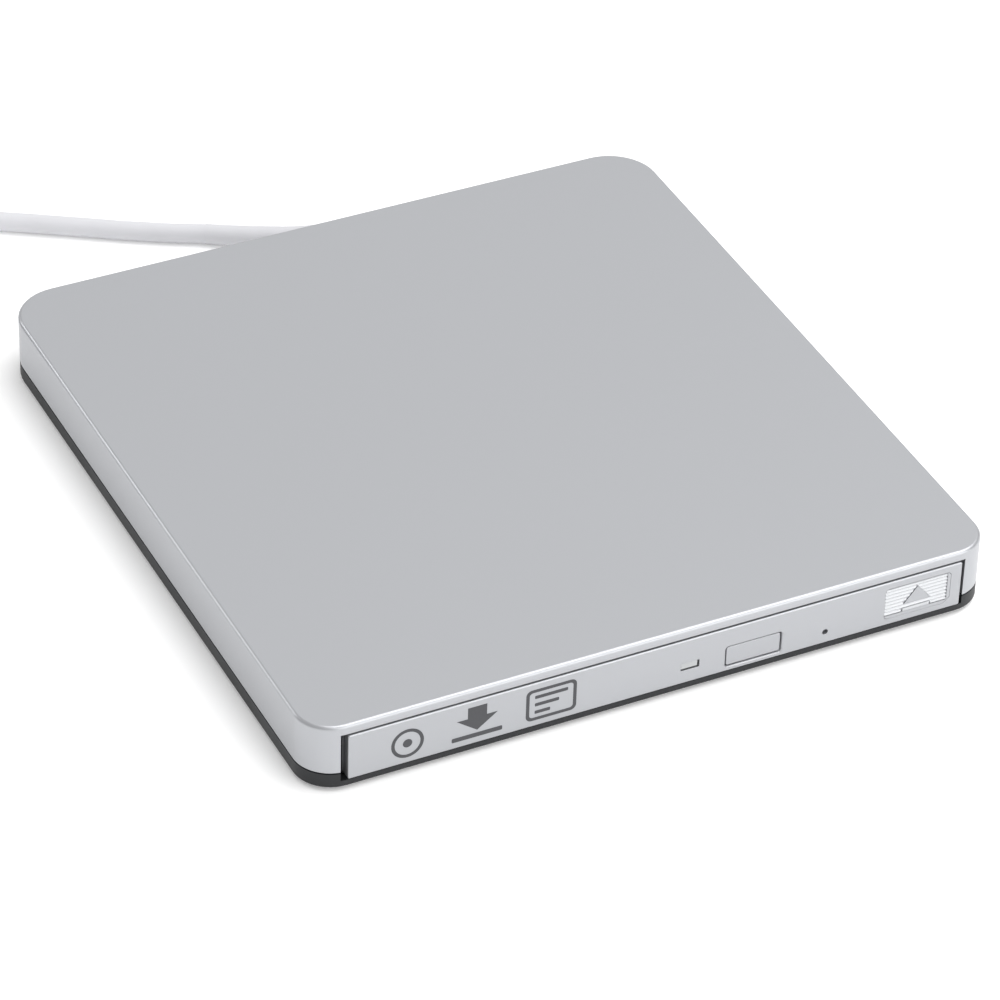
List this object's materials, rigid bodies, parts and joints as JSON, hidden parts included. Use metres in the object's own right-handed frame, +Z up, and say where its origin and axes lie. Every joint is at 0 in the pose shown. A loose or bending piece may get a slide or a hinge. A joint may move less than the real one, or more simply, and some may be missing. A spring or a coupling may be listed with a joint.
{
  "type": "external optical drive",
  "caption": "Slim external optical drive with a sliding disc tray, eject button and ribbed key, and a captive data cable ending in a flat plug.",
  "frame": {"origin": "on the floor under the middle of the enclosure", "axes": "+X to the right and +Y to the back as seen from the tray's front, +Z up"},
  "size_m": [0.2045, 0.2188, 0.0148],
  "materials": {
    "silver_paint": "fine metallic silver paint on moulded plastic, satin",
    "bezel_paint": "light silver paint, satin",
    "black_plastic": "fine-grained black moulding",
    "tray_plastic": "smooth black moulding",
    "rubber": "matt black rubber",
    "steel": "plain pressed steel",
    "dark_steel": "blackened steel",
    "copper_foil": "amber film cable",
    "green_board": "green solder mask",
    "chip_plastic": "matt black chip package",
    "clear_plastic": "milky light window",
    "lens_glass": "coated lens",
    "nylon": "natural nylon",
    "cable_jacket": "pale grey soft jacket"
  },
  "bodies": {
    "case": {"top_cover": "silver_paint", "bottom_cover": "black_plastic", "foot_1": "rubber", "foot_2": "rubber", "foot_3": "rubber", "foot_4": "rubber", "case_screw_1": "steel", "case_screw_2": "steel", "case_screw_3": "steel", "case_screw_4": "steel", "cage_base": "steel", "cage_lid": "steel", "rail_guide_left": "nylon", "rail_guide_right": "nylon", "latch_pin": "steel", "drive_connector": "black_plastic", "bridge_board": "green_board", "bridge_chip": "chip_plastic", "crystal": "steel", "capacitor": "black_plastic", "sata_connector": "black_plastic", "cable_header": "nylon", "cable_core": "cable_jacket", "board_screw_1": "steel", "board_screw_2": "steel", "flex_ribbon": "copper_foil", "cable_grommet": "black_plastic", "strain_relief": "cable_jacket", "cable": "cable_jacket", "cable_coil": "cable_jacket", "cable_tail": "cable_jacket", "cable_tie": "black_plastic", "plug_grip": "cable_jacket", "plug_shell": "steel", "plug_tongue": "nylon"},
    "tray": {"tray": "tray_plastic", "bezel": "bezel_paint", "led_window": "clear_plastic", "tray_shield": "steel", "main_board": "green_board", "main_chip": "chip_plastic", "tact_switch": "steel", "solenoid": "dark_steel", "traverse_plate": "dark_steel", "guide_rod_1": "steel", "guide_rod_2": "steel", "damper_1": "rubber", "damper_2": "rubber", "damper_3": "rubber", "spindle_motor": "steel", "feed_motor": "steel"},
    "left_rail": {"rail_left": "steel"},
    "right_rail": {"rail_right": "steel"},
    "turntable": {"turntable": "tray_plastic"},
    "pickup": {"pickup_sled": "dark_steel", "lens": "lens_glass"},
    "lead_screw": {"lead_screw": "steel"},
    "eject_button": {"eject_button": "bezel_paint"},
    "eject_key": {"eject_key": "bezel_paint"},
    "latch": {"latch_lever": "nylon"}
  },
  "joints": [
    {"name": "tray_slide", "type": "slide", "parent": "case", "child": "tray", "axis": [0, -1, 0], "range_m": [0, 0.126]},
    {"name": "left_rail_slide", "type": "slide", "parent": "case", "child": "left_rail", "axis": [0, -1, 0], "range_m": [0, 0.063]},
    {"name": "right_rail_slide", "type": "slide", "parent": "case", "child": "right_rail", "axis": [0, -1, 0], "range_m": [0, 0.063]},
    {"name": "turntable_spin", "type": "hinge", "parent": "tray", "child": "turntable", "pos_m": [-0.003, -0.011, 0.0085], "axis": [0, 0, 1], "continuous": true},
    {"name": "pickup_slide", "type": "slide", "parent": "tray", "child": "pickup", "axis": [0.7071, -0.7071, 0], "range_m": [0, 0.033]},
    {"name": "lead_screw_spin", "type": "hinge", "parent": "tray", "child": "lead_screw", "pos_m": [-0.01679, -0.02479, 0.0054], "axis": [0.7071, -0.7071, 0], "range_deg": [-3961, 0]},
    {"name": "eject_button_press", "type": "slide", "parent": "tray", "child": "eject_button", "axis": [0, 1, 0], "range_m": [0, 0.0005], "stiffness_N_per_m": 300, "springref_m": -0.001},
    {"name": "eject_key_press", "type": "slide", "parent": "tray", "child": "eject_key", "axis": [0, 1, 0], "range_m": [0, 0.0005], "stiffness_N_per_m": 300, "springref_m": -0.001},
    {"name": "latch_swing", "type": "hinge", "parent": "tray", "child": "latch", "pos_m": [0.0495, -0.068, 0.0044], "axis": [0, 0, -1], "range_deg": [0, 12]}
  ],
  "couplings": [
    {"joint": "left_rail_slide", "follows": "tray_slide", "ratio": 0.5},
    {"joint": "right_rail_slide", "follows": "tray_slide", "ratio": 0.5},
    {"joint": "lead_screw_spin", "follows": "pickup_slide", "rad_per_m": -2094.4}
  ]
}
